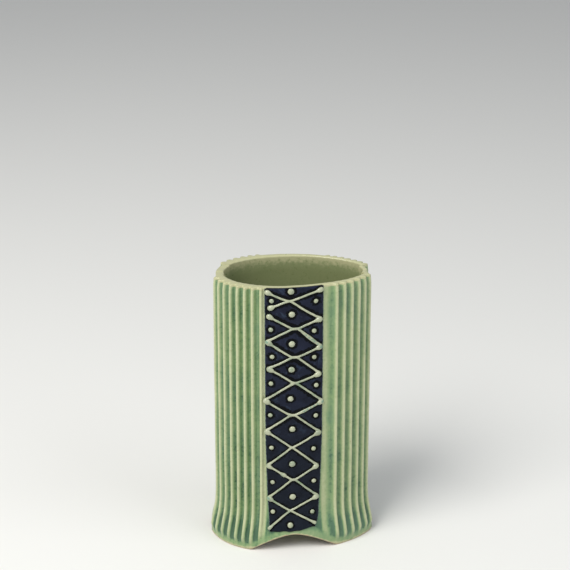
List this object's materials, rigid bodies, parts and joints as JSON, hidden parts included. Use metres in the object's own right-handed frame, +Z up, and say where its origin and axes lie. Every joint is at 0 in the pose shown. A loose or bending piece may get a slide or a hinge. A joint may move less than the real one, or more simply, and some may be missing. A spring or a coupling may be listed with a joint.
{
  "type": "brush holder pot",
  "caption": "Tall oval stoneware pot for brushes, with ribbed corners, smooth bands, an arched foot, and a dark front panel carrying a raised lattice and beads.",
  "frame": {"origin": "centre of the foot on the table plane", "axes": "+Z up to the open mouth, -Y towards the decorated front, +X to the right of someone facing the front"},
  "size_m": [0.0972, 0.0633, 0.166],
  "materials": {
    "celadon_front": "glossy",
    "celadon_back": "glossy",
    "celadon_left": "glossy",
    "celadon_right": "glossy",
    "celadon_floor": "satin",
    "celadon_coil": "satin",
    "navy_glaze": "high gloss",
    "pale_slip": "glossy",
    "bead_slip": "glossy"
  },
  "bodies": {
    "root": {"front_wall": "celadon_front", "back_wall": "celadon_back", "left_seam_band": "celadon_left", "right_seam_band": "celadon_right", "floor_slab": "celadon_floor", "floor_coil": "celadon_coil", "navy_panel": "navy_glaze", "lattice_cross_1": "pale_slip", "lattice_cross_2": "pale_slip", "lattice_cross_3": "pale_slip", "lattice_cross_4": "pale_slip", "lattice_cross_5": "pale_slip", "lattice_cross_6": "pale_slip", "lattice_cross_7": "pale_slip", "lattice_cross_8": "pale_slip", "centre_bead_1": "bead_slip", "centre_bead_2": "bead_slip", "centre_bead_3": "bead_slip", "centre_bead_4": "bead_slip", "centre_bead_5": "bead_slip", "centre_bead_6": "bead_slip", "centre_bead_7": "bead_slip", "centre_bead_8": "bead_slip", "centre_bead_9": "bead_slip", "left_bead_1": "bead_slip", "left_bead_2": "bead_slip", "left_bead_3": "bead_slip", "left_bead_4": "bead_slip", "left_bead_5": "bead_slip", "left_bead_6": "bead_slip", "left_bead_7": "bead_slip", "left_bead_8": "bead_slip", "right_bead_1": "bead_slip", "right_bead_2": "bead_slip", "right_bead_3": "bead_slip", "right_bead_4": "bead_slip", "right_bead_5": "bead_slip", "right_bead_6": "bead_slip", "right_bead_7": "bead_slip", "right_bead_8": "bead_slip"}
  },
  "joints": []
}
